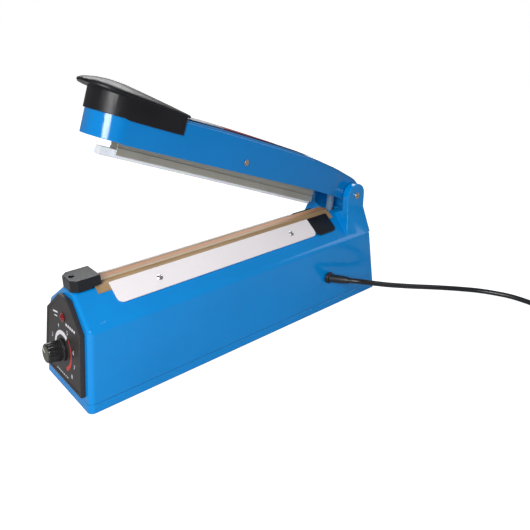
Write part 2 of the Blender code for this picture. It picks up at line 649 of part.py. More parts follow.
def ptfe_cloth():
    """Thin coated glass cloth laid over the strip and down both shoulders, under the clamp plates."""
    outer = cloth_section(0.00016, 0.0066)
    inner = cloth_section(0.0, 0.0066)
    section = [(-y, z) for y, z in reversed(outer[1:])] + outer + list(reversed(inner))
    section += [(-y, z) for y, z in inner[1:]]
    finish("ptfe_cloth", prism(section, STRIP_FROM, STRIP_TO, "X"), CLOTH, body)


ptfe_cloth()


def shoulder_plate(name, x_from, x_to, top, bottom, side, height, thickness, finish_material, corner,
                   screws=()):
    """Flat plate on a shoulder with its two lower corners rounded."""
    outline = [(x_from, -top), (x_from, -bottom + corner)]
    outline += arc((x_from + corner, -bottom + corner), corner, 180, 270, 4)[1:]
    outline += arc((x_to - corner, -bottom + corner), corner, 270, 360, 4)
    outline += [(x_to, -top)]
    shape = prism(outline, 0.0, thickness)
    place = on_shoulder(0, side, 0, height)
    # local +Y points up the shoulder and local +Z out of it
    turn = Matrix(((1, 0, 0), (0, -side * math.cos(SHOULDER_SLOPE), side * math.sin(SHOULDER_SLOPE)),
                   (0, math.sin(SHOULDER_SLOPE), math.cos(SHOULDER_SLOPE))))
    if turn.determinant() < 0:
        turn = turn @ Matrix(((-1, 0, 0), (0, 1, 0), (0, 0, 1)))
        bmesh.ops.scale(shape, vec=(-1, 1, 1), verts=shape.verts)
    plate = finish(name, shape, finish_material, body, place, turn.to_euler())
    for number, x in enumerate(screws, 1):
        bore = turned([(0.0019, 0.004), (0.0019, -0.004)], 16)
        boolean(plate, helper("%s_bore_%d" % (name, number), bore, body, on_shoulder(x, side, SCREW_DOWN),
                              (-side * SHOULDER_SLOPE, 0, 0)))
    return plate


PLATE_HEIGHT, PLATE_THICKNESS = 0.0009, 0.0010
for side, word in ((-1, "front"), (1, "rear")):
    shoulder_plate("clamp_plate_" + word, -0.1205, 0.0865, 0.0006, 0.0196, side, PLATE_HEIGHT,
                   PLATE_THICKNESS, PLATE, 0.0050, [x for x, where in CLAMP_SCREWS if where == side])
    shoulder_plate("hinge_pad_" + word, 0.0869, 0.1122, 0.0006, 0.0208, side, PLATE_HEIGHT, 0.0011, BLACK,
                   0.0050)
for number, (x, side) in enumerate(CLAMP_SCREWS, 1):
    add_screw("clamp_screw_%d" % number, 0.0025, 0.0013, 0.0012, 0.0050, body,
              on_shoulder(x, side, SCREW_DOWN, PLATE_HEIGHT + PLATE_THICKNESS + GAP),
              (-side * SHOULDER_SLOPE, 0, 0))


def end_block():
    """Black moulded block over the ridge's panel end. It holds down the cloth and the wire's end."""
    x_from, x_to, half, cut = -0.1486, -0.1263, 0.0104, 0.0042
    low, high = RIDGE_Z + GAP, 0.0940
    outline = [(x_from, -half + cut), (x_from + cut, -half), (x_to, -half), (x_to, half),
               (x_from + cut, half), (x_from, half - cut)]
    shape = prism(outline, low, high)
    bmesh.ops.recalc_face_normals(shape, faces=shape.faces)
    rounded(shape, 0.0005, 2, lambda edge: min(v.co.z for v in edge.verts) > high - 1e-5)
    block = finish("end_block", shape, BLACK, body)
    saddle = [(-STRIP_HALF - 0.0020, RIDGE_Z), (STRIP_HALF + 0.0020, RIDGE_Z), (STRIP_HALF + 0.0014, 0.0876),
              (-STRIP_HALF - 0.0014, 0.0876)]
    boolean(block, helper("block_saddle", prism(saddle, -0.1330, -0.1200, "X"), body))
    wing = cuboid((-0.1330, -0.02, RIDGE_Z - 0.001), (-0.1200, 0.02, RIDGE_Z + 0.0016))
    boolean(block, helper("block_wing", wing, body))
    boolean(block, helper("block_counterbore", turned([(0.0022, 0.098), (0.0022, 0.0885)], 18), body,
                          (-0.1442, 0, 0)))
    boolean(block, helper("block_bore", turned([(0.0014, 0.090), (0.0014, 0.080)], 12), body,
                          (-0.1442, 0, 0)))
    add_screw("end_block_screw", 0.0018, 0.0010, 0.0010, 0.0085, body, (-0.1442, 0, 0.0885 + GAP))


end_block()
boolean(shell, helper("block_screw_hole", turned([(0.0014, 0.090), (0.0014, 0.078)], 12), body,
                      (-0.1442, 0, 0)))

# ---- arm ---------------------------------------------------------------------------------------------
# arm_frame: origin on the hinge pin, -X towards the handle, tilted up as the arm stands open
arm = empty("arm_frame", body, PIVOT, (0, ARM_REST_TILT, 0))
NOSE_ANGLES = range(10, 90, 10)
# x from the pin, half width, lower edge, height of the side wall and rise of the crowned top
ARM_STATIONS = [(-0.2110, 0.0210, -0.0048, 0.0232, 0.0023), (-0.1800, 0.0210, -0.0048, 0.0240, 0.0023),
                (-0.1400, 0.0210, -0.0048, 0.0242, 0.0018), (-0.1100, 0.0210, -0.0048, 0.0242, 0.0012),
                (-0.0850, 0.0210, -0.0048, 0.0238, 0.0009), (-0.0620, 0.0210, -0.0048, 0.0226, 0.0008),
                (-0.0360, 0.0210, -0.0055, 0.0202, 0.0008), (-0.0260, 0.0203, -0.0059, 0.0190, 0.0008),
                (-0.0155, 0.0184, -0.0063, 0.0176, 0.0008), (-0.0050, 0.0184, -0.0068, 0.0160, 0.0008),
                (0.0020, 0.0184, -0.0074, 0.0144, 0.0008), (0.0080, 0.0184, -0.0080, 0.0114, 0.0006),
                (0.0110, 0.0184, -0.0070, 0.0080, 0.0005), (0.0130, 0.0184, -0.0036, 0.0036, 0.0004)]


def arm_section(x, half, low, side_top, crown, corner=0.0030):
    """Arched section of the arm, bottom edge first, each corner at the top turned on a small radius."""
    corner = min(corner, half * 0.6, (side_top - low) * 0.3)
    points = [(x, -half, low), (x, half, low)]
    for y, z in arc((half - corner, side_top - corner), corner, 0, 72, 3):
        points.append((x, y, z))
    flat = half - corner
    for share in (0.45, 0.0, -0.45):
        points.append((x, flat * share, side_top + crown * (1 - share * share)))
    for y, z in reversed(arc((half - corner, side_top - corner), corner, 0, 72, 3)):
        points.append((x, -y, z))
    return points


def arm_stations(grow, low_to=None, from_x=None, to_x=None):
    """Stations of the arm's outside, grown by a margin (negative shrinks it)."""
    radius = ARM_HALF_WIDTH + grow
    stations = []
    for angle in NOSE_ANGLES:
        a = math.radians(angle)
        stations.append((NOSE_CENTRE_X - radius * math.cos(a), radius * math.sin(a), -0.0040, 0.0226 + grow,
                         0.0020))
    stations.append((NOSE_CENTRE_X, radius, -0.0047, 0.0228 + grow, 0.0021))
    for x, half, low, top, crown in ARM_STATIONS:
        stations.append((x, half + grow, low, top + grow, crown))
    if low_to is not None:
        stations = [(x, half, low_to, top, crown) for x, half, _, top, crown in stations]
    return [row for row in stations if (to_x is None or row[0] <= to_x)]


def arm_shell():
    shape = loft([arm_section(*row) for row in arm_stations(0.0)])
    made = finish("arm_shell", shape, BLUE, arm)
    rows = arm_stations(-ARM_WALL, low_to=-0.0200, to_x=0.0021)
    x, half, low, top, crown = rows[-1]
    rows.append((0.0090, half, low, 0.0080, crown))
    boolean(made, helper("arm_hollow", loft([arm_section(*row, corner=0.0015) for row in rows]), arm))
    hole = turned([(PIN_RADIUS + 0.00012, 0.030), (PIN_RADIUS + 0.00012, -0.030)], 20)
    boolean(made, helper("arm_pin_hole", hole, arm, (0, 0, 0), (math.pi / 2, 0, 0)))
    bar_hole = turned([(0.0018, 0.030), (0.0018, -0.030)], 16)
    boolean(made, helper("bar_pin_hole", bar_hole, arm, (BAR_PIVOT[0], 0, BAR_PIVOT[1]), (math.pi / 2, 0, 0)))
    rod_hole = turned([(0.0014, 0.030), (0.0014, -0.030)], 14)
    boolean(made, helper("rod_pin_hole", rod_hole, arm, (ROD_PIN[0], 0, ROD_PIN[1]), (math.pi / 2, 0, 0)))
    return made


arm_body = arm_shell()

pin = turned([(0.0, 0.0280), (0.0014, 0.0279), (PIN_RADIUS, 0.0274), (PIN_RADIUS, -0.0274), (0.0014, -0.0279),
              (0.0, -0.0280)], 20)
finish("hinge_pin", pin, BRASS, body, PIVOT, (math.pi / 2, 0, 0))
bar_pin = turned([(0.0, 0.0224), (0.0010, 0.02235), (0.0014, 0.0221), (0.0014, -0.0221), (0.0010, -0.02235),
                  (0.0, -0.0224)], 16)
bar_pin_place = (BAR_PIVOT[0], 0, BAR_PIVOT[1])
finish("bar_pivot_pin", bar_pin, BRASS, arm, bar_pin_place, (math.pi / 2, 0, 0))
rod_pin = turned([(0.0011, 0.0180), (0.0011, -0.0180)], 14)
finish("rod_pin", rod_pin, STEEL, arm, (ROD_PIN[0], 0, ROD_PIN[1]), (math.pi / 2, 0, 0))
for side, word in ((-1, "front"), (1, "rear")):
    hinge_ring = ring(0.0032, PIN_RADIUS + 0.0002, -0.0004, 0.0004, 24)
    place = PIVOT + Vector((0, side * (EAR_OUTER + GAP + 0.0004), 0))
    finish("hinge_ring_" + word, hinge_ring, STEEL, body, place, (math.pi / 2, 0, 0))
    bar_ring = ring(0.0025, 0.0016, -0.0003, 0.0003, 20)
    place = (BAR_PIVOT[0], side * (ARM_HALF_WIDTH + GAP + 0.0003), BAR_PIVOT[1])
    finish("bar_ring_" + word, bar_ring, STEEL, arm, place, (math.pi / 2, 0, 0))


def handle():
    """Moulded black grip over the arm's front end: a skirt round the nose and a brimmed cap on top."""
    grow = 0.0013
    radius = ARM_HALF_WIDTH + grow
    rows = []
    for angle in NOSE_ANGLES:
        a = math.radians(angle)
        rows.append((NOSE_CENTRE_X - radius * math.cos(a), radius * math.sin(a), 0.0130, 0.0290))
    rows += [(NOSE_CENTRE_X, radius, 0.0122, 0.0282), (-0.2400, radius, 0.0120, 0.0276),
             (-0.2250, radius, 0.0120, 0.0266), (-0.2118, radius, 0.0120, 0.0262)]
    skirt = loft([[(x, -half, low), (x, half, low), (x, half, top), (x, -half, top)]
                  for x, half, low, top in rows])
    grip = finish("handle", skirt, BLACK, arm)
    # x, half width, underside of the brim, top of its edge, height of the crown
    brim = [(-0.2858, 0.0044, 0.0294, 0.0302, 0.0312), (-0.2842, 0.0104, 0.0289, 0.0304, 0.0322),
            (-0.2811, 0.0158, 0.0283, 0.0306, 0.0334), (-0.2750, 0.0204, 0.0276, 0.0306, 0.0347),
            (-0.2670, 0.0233, 0.0270, 0.0304, 0.0354), (-0.2580, 0.0240, 0.0266, 0.0300, 0.0351),
            (-0.2450, 0.0238, 0.0262, 0.0292, 0.0336), (-0.2250, 0.0236, 0.0256, 0.0281, 0.0308),
            (-0.2140, 0.0236, 0.0252, 0.0272, 0.0290), (-0.2096, 0.0232, 0.0251, 0.0266, 0.0280)]
    sections = []
    for x, half, under, edge, top in brim:
        right = [(half - 0.0012, under), (half, under + 0.0008), (half, edge - 0.0006),
                 (half * 0.93, edge + 0.0006), (half * 0.66, edge + (top - edge) * 0.72),
                 (half * 0.30, top - (top - edge) * 0.06)]
        left = [(-y, z) for y, z in reversed(right)]
        sections.append([(x, y, z) for y, z in right + [(0.0, top)] + left])
    boolean(grip, helper("handle_cap", loft(sections), arm), "UNION")
    rows = arm_stations(GAP, low_to=0.0, to_x=-0.2050)
    rows.append((-0.2000, ARM_HALF_WIDTH + GAP, 0.0, 0.0232 + GAP, 0.0023))
    boolean(grip, helper("handle_hollow", loft([arm_section(*row) for row in rows]), arm))
    return grip


grip = handle()
for number, x in enumerate((-0.2600, -0.2300), 1):
    boolean(arm_body, helper("grip_hole_%d" % number, turned([(0.0018, 0.040), (0.0018, 0.010)], 14), arm,
                             (x, 0, 0)))
    boolean(grip, helper("grip_bore_%d" % number, turned([(0.0018, 0.0298), (0.0018, 0.010)], 14), arm,
                         (x, 0, 0)))
    add_screw("handle_screw_%d" % number, 0.0030, 0.0016, 0.0014, 0.0068, arm, (x, 0, 0.0224 - GAP),
              (math.pi, 0, 0))


def label_plate():
    """Thin printed aluminium plate that follows the arm's crowned top."""
    rows = []
    for x, half, low, top, crown in [(-0.2086, 0, 0, 0.0233, 0.0023)] + ARM_STATIONS[1:6]:
        section = []
        for lift, shares in ((0.0006, (-1, -0.5, 0, 0.5, 1)), (GAP, (1, 0.5, 0, -0.5, -1))):
            for share in shares:
                y = share * 0.0150
                shape = 1 - (y / (ARM_HALF_WIDTH - 0.003)) ** 2
                section.append((x, y, top + crown * shape + lift + 0.0001))
        rows.append(section)
    finish("label_plate", loft(rows), ALUMINIUM, arm)


label_plate()

# ---- press bar ---------------------------------------------------------------------------------------
# bar_frame: origin on the bar's own pivot, level when the arm is shut
bar = empty("bar_frame", arm, bar_pin_place, (0, BAR_REST_TILT - ARM_REST_TILT, 0))
BAR_FROM, BAR_TO = -0.1060, 0.1070
FACE = -BAR_DEPTH
STRIP_HEIGHT = 0.0062  # silicone strip, from its sealing face to the floor of the bar's groove


def press_bar():
    """Aluminium extrusion with a groove below for the silicone strip and a lug at mid length."""
    half = [(0.0036, FACE + STRIP_HEIGHT + 0.0004), (0.0036, FACE + 0.0026), (0.0055, FACE + 0.0026),
            (0.0055, FACE + 0.0080), (0.0044, FACE + 0.0084), (0.0044, FACE + 0.0092),
            (0.0052, FACE + 0.0096), (0.0052, FACE + 0.0150)]
    section = [(-y, z) for y, z in reversed(half)] + half
    made = finish("press_bar", prism(section, BAR_FROM, BAR_TO, "X"), ALUMINIUM, bar)
    outline = [(0.0100, FACE + 0.0140)] + arc((0, 0), 0.0052, 0, 180, 8) + [(-0.0100, FACE + 0.0140)]
    boolean(made, helper("bar_lug", prism(outline, -0.0046, 0.0046, "Y"), bar), "UNION")
    hole = turned([(0.0018, 0.01), (0.0018, -0.01)], 16)
    boolean(made, helper("bar_hole", hole, bar, (0, 0, 0), (math.pi / 2, 0, 0)))


press_bar()
strip_section = [(-0.0033, FACE + STRIP_HEIGHT), (-0.0033, FACE + 0.0006), (-0.0024, FACE), (0.0024, FACE),
                 (0.0033, FACE + 0.0006), (0.0033, FACE + STRIP_HEIGHT)]
rubber = prism(strip_section, -0.2635 - BAR_PIVOT[0], BAR_TO - 0.0004, "X")
finish("silicone_strip", rubber, SILICONE, bar)
for number, (x, tilt, high) in enumerate(((-0.0720, BAR_REST_TILT - ARM_REST_TILT, 0.0170),
                                       (0.0560, -ARM_REST_TILT + ARM_CLOSING, 0.0155)), 1):
    low = FACE + 0.0150 - x * math.tan(tilt) + GAP
    finish("bar_spring_%d" % number, coil_spring(0.0034, 0.00045, high - low, 4.5), STEEL, arm,
           (BAR_PIVOT[0] + x, 0, BAR_PIVOT[1] + low))

# ---- cord --------------------------------------------------------------------------------------------
CORD_ROUTE = [(0.1022, -0.0643, 0.0348), (0.1076, -0.0690, 0.0339), (0.1141, -0.0719, 0.0320),
              (0.1235, -0.0744, 0.0289), (0.1338, -0.0769, 0.0255), (0.1504, -0.0793, 0.0200),
              (0.1697, -0.0826, 0.0140), (0.1904, -0.0880, 0.0085), (0.2075, -0.0961, 0.0050),
              (0.2212, -0.1065, 0.0032), (0.2319, -0.1185, 0.0026), (0.2398, -0.1329, 0.0026),
              (0.2451, -0.1463, 0.0026), (0.2472, -0.1600, 0.0026), (0.2472, -0.1710, 0.0026),
              (0.2448, -0.1805, 0.0028)]
SLEEVE_WAY = Vector((math.sin(CORD_YAW), -math.cos(CORD_YAW), math.sin(CORD_LIFT))).normalized()
SLEEVE_ROOT = CORD_EXIT - Vector((0, 0.0030, 0))


def strain_relief():
    """Rubber bush through the wall with a collar outside it, and a sleeve that bends with the cord."""
    bush = turned([(0.0030, 0.0070), (0.0034, 0.0060), (0.0034, -0.0008), (0.0055, -0.0010),
                   (0.0055, -0.0030), (0.0045, -0.0040), (0.0, -0.0042)], 20)
    made = finish("strain_relief", bush, RUBBER, body, CORD_EXIT, (-math.pi / 2, 0, 0))
    sleeve = turned([(0.0040, 0.0), (0.0040, -0.0080), (0.0037, -0.0140), (0.0033, -SLEEVE_LENGTH + 0.0012),
                     (0.0029, -SLEEVE_LENGTH)], 20)
    turn = SLEEVE_WAY.to_track_quat("-Z", "Y").to_euler()
    boolean(made, helper("relief_sleeve", sleeve, body, SLEEVE_ROOT, turn), "UNION")


strain_relief()
route = smooth_route([SLEEVE_ROOT + SLEEVE_WAY * (SLEEVE_LENGTH + GAP)] + CORD_ROUTE, 0.0065)
tube("mains_cord", route, CORD_RADIUS, CORD, body)


def cord_coil():
    """The wound length as one ring, with rounded corners, lying on the bench."""
    half, high = COIL_SECTION
    corner = 0.0025
    shape = bmesh.new()
    section = []
    for centre_x, centre_z, start in ((half - corner, high - corner, 0), (corner - half, high - corner, 90),
                                      (corner - half, corner - high, 180),
                                      (half - corner, corner - high, 270)):
        section += arc((centre_x, centre_z), corner, start, start + 90, 2)
    steps = 36
    loops = []
    for step in range(steps):
        angle = 2 * math.pi * step / steps
        loops.append([shape.verts.new(((COIL_RADIUS + x) * math.cos(angle),
                                       (COIL_RADIUS + x) * math.sin(angle), z)) for x, z in section])
    for step in range(steps):
        here, there = loops[step], loops[(step + 1) % steps]
        for side in range(len(section)):
            after = (side + 1) % len(section)
            shape.faces.new([here[side], here[after], there[after], there[side]])
    finish("cord_coil", shape, CORD, body, (*COIL_CENTRE, high + GAP))


cord_coil()


PLUG_FRAME = empty("plug_frame", body, (0.3330, -0.1832, 0.0070), (0, 0, math.radians(21)))
TAIL_ROUTE = [(0.3114, -0.2060, 0.0068), (0.3140, -0.1990, 0.0068), (0.3184, -0.1924, 0.0069),
              (0.3246, -0.1876, 0.0070), (0.3325, -0.1837, 0.0070)]
tube("cord_tail", smooth_route(TAIL_ROUTE, 0.0065), CORD_RADIUS, CORD, body)


def mains_plug():
    """Slim two-pin plug. The frame's +X runs out of its face and the cord comes in at its back."""
    rows = [(0.0, 0.0034, 0.0034), (0.0060, 0.0044, 0.0040), (0.0100, 0.0090, 0.0058),
            (0.0180, 0.0150, 0.0066), (0.0340, 0.0160, 0.0066), (0.0352, 0.0154, 0.0060)]
    sections = []
    for x, half, high in rows:
        section = []
        for step in range(16):
            a = 2 * math.pi * step / 16
            c, s = math.cos(a), math.sin(a)
            section.append((x, half * math.copysign(abs(c) ** 0.6, c),
                            high * math.copysign(abs(s) ** 0.6, s)))
        sections.append(section)
    plug = finish("mains_plug", loft(sections), BLACK, PLUG_FRAME)
    for number, y in enumerate((-0.0095, 0.0095), 1):
        bore = turned([(0.0023, 0.050), (0.0023, 0.026)], 14)
        boolean(plug, helper("pin_bore_%d" % number, bore, PLUG_FRAME, (0, y, 0), (0, math.pi / 2, 0)))
        pin_shape = turned([(0.0, 0.0540), (0.0014, 0.0538), (0.0020, 0.0528), (0.0020, 0.0265),
                            (0.0, 0.0265)], 14)
        finish("plug_pin_%d" % number, pin_shape, BRASS, PLUG_FRAME, (0, y, 0), (0, math.pi / 2, 0))


mains_plug()
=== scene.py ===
import math

import bmesh
import bpy
from mathutils import Matrix, Vector


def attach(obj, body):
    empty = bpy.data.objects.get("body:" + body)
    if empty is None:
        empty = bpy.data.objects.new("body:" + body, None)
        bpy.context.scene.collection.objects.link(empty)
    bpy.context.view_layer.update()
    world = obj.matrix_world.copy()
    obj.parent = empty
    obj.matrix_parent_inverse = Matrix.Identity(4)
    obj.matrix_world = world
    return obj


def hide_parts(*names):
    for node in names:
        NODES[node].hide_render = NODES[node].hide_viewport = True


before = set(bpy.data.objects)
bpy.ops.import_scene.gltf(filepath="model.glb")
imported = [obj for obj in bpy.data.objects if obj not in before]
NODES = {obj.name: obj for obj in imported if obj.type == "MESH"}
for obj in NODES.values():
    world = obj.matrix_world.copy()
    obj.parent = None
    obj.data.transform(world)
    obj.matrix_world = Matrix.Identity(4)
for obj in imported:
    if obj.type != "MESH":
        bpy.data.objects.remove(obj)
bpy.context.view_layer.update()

SCENE = bpy.context.scene

# ---- view and light ----------------------------------------------------------------------------------
# A pale floor that meets a white surround, a soft light over the dial end, a wide one from behind and a faint
# one at the hinge end. The view looks down at the open sealer's dial end.
camera_data = bpy.data.cameras.new("camera")
camera_data.lens = 39.33
camera_data.sensor_width = 36.0
camera_data.shift_x = 0.0096
camera_data.shift_y = -0.0203
camera_data.clip_start = 0.01
camera = bpy.data.objects.new("camera", camera_data)
camera.location = (-0.27886, -0.3772, 0.2793)
camera.rotation_euler = (math.radians(66.13), 0.0, math.radians(-40.46))
SCENE.collection.objects.link(camera)
SCENE.camera = camera
SCENE.view_settings.view_transform = "Standard"


def node(tree, kind, settings=None, **values):
    """Adds a node, sets its properties and the defaults of its named inputs."""
    made = tree.nodes.new(kind)
    for key, value in (settings or {}).items():
        setattr(made, key, value)
    for key, value in values.items():
        made.inputs[key.replace("_", " ")].default_value = value
    return made


def seen_or_bounced(tree, bounced, seen):
    """A value that differs between what the eye meets directly and what light and reflections meet."""
    ray = node(tree, "ShaderNodeLightPath")
    choice = node(tree, "ShaderNodeMapRange", To_Min=bounced, To_Max=seen)
    tree.links.new(ray.outputs["Is Camera Ray"], choice.inputs["Value"])
    return choice.outputs["Result"]


world = bpy.data.worlds.new("surround")
world.use_nodes = True
surround = world.node_tree.nodes["Background"]
surround.inputs["Color"].default_value = (1.0, 1.0, 1.0, 1.0)
world.node_tree.links.new(seen_or_bounced(world.node_tree, 0.24, 1.0), surround.inputs["Strength"])
SCENE.world = world


def soft_light(name, size, power, place, aim):
    """A rectangular area light that faces a point."""
    data = bpy.data.lights.new(name, "AREA")
    data.shape = "RECTANGLE"
    data.size, data.size_y = size
    data.energy = power
    made = bpy.data.objects.new(name, data)
    made.location = place
    made.rotation_euler = (Vector(aim) - Vector(place)).to_track_quat("-Z", "Y").to_euler()
    SCENE.collection.objects.link(made)


soft_light("key_light", (0.34, 0.34), 7.4, (-0.66, -0.50, 0.50), (-0.10, 0.0, 0.05))
soft_light("back_light", (0.80, 0.30), 6.0, (0.42, 0.72, 0.80), (0.0, 0.0, 0.08))
soft_light("end_light", (0.20, 0.50), 0.5, (0.75, -0.50, 0.45), (0.10, 0.0, 0.08))


def socket_group(name, inputs, outputs):
    """A shader node group with named float, colour and vector sockets."""
    group = bpy.data.node_groups.new(name, "ShaderNodeTree")
    for direction, sockets in (("INPUT", inputs), ("OUTPUT", outputs)):
        for label, kind, default in sockets:
            made = group.interface.new_socket(label, in_out=direction, socket_type="NodeSocket" + kind)
            if direction == "INPUT" and default is not None:
                made.default_value = default
    return group, group.nodes.new("NodeGroupInput"), group.nodes.new("NodeGroupOutput")


def mottle_group():
    """Cloudy light and dark variation of a colour, and a value for roughness that follows it."""
    group, given, out = socket_group(
        "mottle", [("Color", "Color", None), ("Scale", "Float", 60.0), ("Amount", "Float", 0.06),
                   ("Roughness", "Float", 0.4), ("Spread", "Float", 0.06)],
        [("Color", "Color", None), ("Roughness", "Float", None)])
    place = node(group, "ShaderNodeTexCoord")
    noise = node(group, "ShaderNodeTexNoise", Detail=4.0, Roughness=0.6)
    signed = node(group, "ShaderNodeMapRange", From_Min=0.3, From_Max=0.7, To_Min=-1.0, To_Max=1.0)
    gain = node(group, "ShaderNodeMath", {"operation": "MULTIPLY_ADD"})
    gain.inputs[2].default_value = 1.0
    tint = node(group, "ShaderNodeVectorMath", {"operation": "SCALE"})
    rough = node(group, "ShaderNodeMath", {"operation": "MULTIPLY_ADD"})
    link = group.links.new
    link(place.outputs["Object"], noise.inputs["Vector"])
    link(given.outputs["Scale"], noise.inputs["Scale"])
    link(noise.outputs["Fac"], signed.inputs["Value"])
    link(signed.outputs["Result"], gain.inputs[0])
    link(given.outputs["Amount"], gain.inputs[1])
    link(given.outputs["Color"], tint.inputs[0])
    link(gain.outputs[0], tint.inputs["Scale"])
    link(tint.outputs[0], out.inputs["Color"])
    link(signed.outputs["Result"], rough.inputs[0])
    link(given.outputs["Spread"], rough.inputs[1])
    link(given.outputs["Roughness"], rough.inputs[2])
    link(rough.outputs[0], out.inputs["Roughness"])
    return group


def edge_group():
    """Mask that is 1 along convex edges, broken up by noise, for rubbed wear and painted highlights on edges.
    """
    group, given, out = socket_group("edge_rub_and_highlight", [("Radius", "Float", 0.0006), ("Broken", "Float", 0.5)],
                                     [("Mask", "Float", None), ("Normal", "Vector", None)])
    soft = node(group, "ShaderNodeBevel", {"samples": 6})
    geometry = node(group, "ShaderNodeNewGeometry")
    dot = node(group, "ShaderNodeVectorMath", {"operation": "DOT_PRODUCT"})
    ramp = node(group, "ShaderNodeMapRange", From_Min=0.995, From_Max=0.80, To_Min=0.0, To_Max=1.0)
    place = node(group, "ShaderNodeTexCoord")
    noise = node(group, "ShaderNodeTexNoise", Scale=220.0, Detail=3.0)
    breakup = node(group, "ShaderNodeMapRange", From_Min=0.35, From_Max=0.65, To_Max=1.0)
    keep = node(group, "ShaderNodeMath", {"operation": "SUBTRACT"})
    keep.inputs[0].default_value = 1.0
    mask = node(group, "ShaderNodeMath", {"operation": "MULTIPLY"})
    link = group.links.new
    link(given.outputs["Radius"], soft.inputs["Radius"])
    link(soft.outputs["Normal"], dot.inputs[0])
    link(geometry.outputs["Normal"], dot.inputs[1])
    link(dot.outputs["Value"], ramp.inputs["Value"])
    link(place.outputs["Object"], noise.inputs["Vector"])
    link(noise.outputs["Fac"], breakup.inputs["Value"])
    link(given.outputs["Broken"], keep.inputs[1])
    link(keep.outputs[0], breakup.inputs["To Min"])
    link(ramp.outputs["Result"], mask.inputs[0])
    link(breakup.outputs["Result"], mask.inputs[1])
    link(mask.outputs[0], out.inputs["Mask"])
    link(soft.outputs["Normal"], out.inputs["Normal"])
    return group


def grain_group():
    """Height of a fine moulded or brushed grain. Stretch below 1 draws the grain out along X."""
    group, given, out = socket_group("grain", [("Scale", "Float", 1500.0), ("Stretch", "Float", 1.0)],
                                     [("Height", "Float", None)])
    place = node(group, "ShaderNodeTexCoord")
    stretch = node(group, "ShaderNodeCombineXYZ", Y=1.0, Z=1.0)
    scaled = node(group, "ShaderNodeVectorMath", {"operation": "MULTIPLY"})
    noise = node(group, "ShaderNodeTexNoise", Detail=3.0, Roughness=0.55)
    link = group.links.new
    link(given.outputs["Stretch"], stretch.inputs["X"])
    link(place.outputs["Object"], scaled.inputs[0])
    link(stretch.outputs[0], scaled.inputs[1])
    link(scaled.outputs[0], noise.inputs["Vector"])
    link(given.outputs["Scale"], noise.inputs["Scale"])
    link(noise.outputs["Fac"], out.inputs["Height"])
    return group


MOTTLE, EDGE_RUB_AND_HIGHLIGHT, GRAIN = mottle_group(), edge_group(), grain_group()


def surface(name, colour, roughness, metallic=0.0, coat=0.0, mottle=(60.0, 0.05, 0.05), edge=(0.0005, 0.5),
            edge_colour=None, edge_strength=0.5, grain=(1500.0, 1.0), bump=0.00002, **extra):
    """A Principled material with mottled colour, edges lightened as rubbed wear and painted highlight, and a
    grain.
    """
    made = bpy.data.materials.new(name)
    made.use_nodes = True
    tree = made.node_tree
    shader = tree.nodes["Principled BSDF"]
    shader.inputs["Metallic"].default_value = metallic
    shader.inputs["Coat Weight"].default_value = coat
    shader.inputs["Coat Roughness"].default_value = 0.04
    for key, value in extra.items():
        shader.inputs[key.replace("_", " ")].default_value = value
    clouds = node(tree, "ShaderNodeGroup", {"node_tree": MOTTLE}, Color=(*colour, 1.0), Scale=mottle[0],
                  Amount=mottle[1], Roughness=roughness, Spread=mottle[2])
    rub_and_highlight = node(tree, "ShaderNodeGroup", {"node_tree": EDGE_RUB_AND_HIGHLIGHT}, Radius=edge[0], Broken=edge[1])
    fine = node(tree, "ShaderNodeGroup", {"node_tree": GRAIN}, Scale=grain[0], Stretch=grain[1])
    relief = node(tree, "ShaderNodeBump", Strength=1.0, Distance=bump)
    weight = node(tree, "ShaderNodeMath", {"operation": "MULTIPLY"})
    weight.inputs[1].default_value = edge_strength
    # Convex edges are mixed towards the edge colour, lighter by default: partly rubbed wear, partly painted
    # highlight.
    mix = node(tree, "ShaderNodeMix", {"data_type": "RGBA"})
    mix.inputs["B"].default_value = (*(edge_colour or tuple(min(1.0, c * 1.6 + 0.02) for c in colour)), 1.0)
    link = tree.links.new
    link(rub_and_highlight.outputs["Mask"], weight.inputs[0])
    link(weight.outputs[0], mix.inputs["Factor"])
    link(clouds.outputs["Color"], mix.inputs["A"])
    link(mix.outputs["Result"], shader.inputs["Base Color"])
    link(clouds.outputs["Roughness"], shader.inputs["Roughness"])
    link(fine.outputs["Height"], relief.inputs["Height"])
    link(rub_and_highlight.outputs["Normal"], relief.inputs["Normal"])
    link(relief.outputs["Normal"], shader.inputs["Normal"])
    return made


# The table is pale paper. What the eye meets of it is lifted towards white, and the sealer's gloss meets it
# darker, as on a lit sweep.
FLOOR_HALF = 9.0
floor_mesh = bpy.data.meshes.new("floor")
floor_corners = [(x * FLOOR_HALF, y * FLOOR_HALF, 0) for x, y in ((-1, -1), (1, -1), (1, 1), (-1, 1))]
floor_mesh.from_pydata(floor_corners, [], [(0, 1, 2, 3)])
paper = surface("floor_paper", (0.50, 0.50, 0.505), 0.7, mottle=(6.0, 0.004, 0.02), edge_strength=0.0,
                Specular_IOR_Level=0.1, Emission_Color=(1.0, 1.0, 1.0, 1.0))
paper_shader = paper.node_tree.nodes["Principled BSDF"]
paper.node_tree.links.new(seen_or_bounced(paper.node_tree, 0.0, 0.88),
                          paper_shader.inputs["Emission Strength"])
floor_mesh.materials.append(paper)
floor = bpy.data.objects.new("floor", floor_mesh)
SCENE.collection.objects.link(floor)

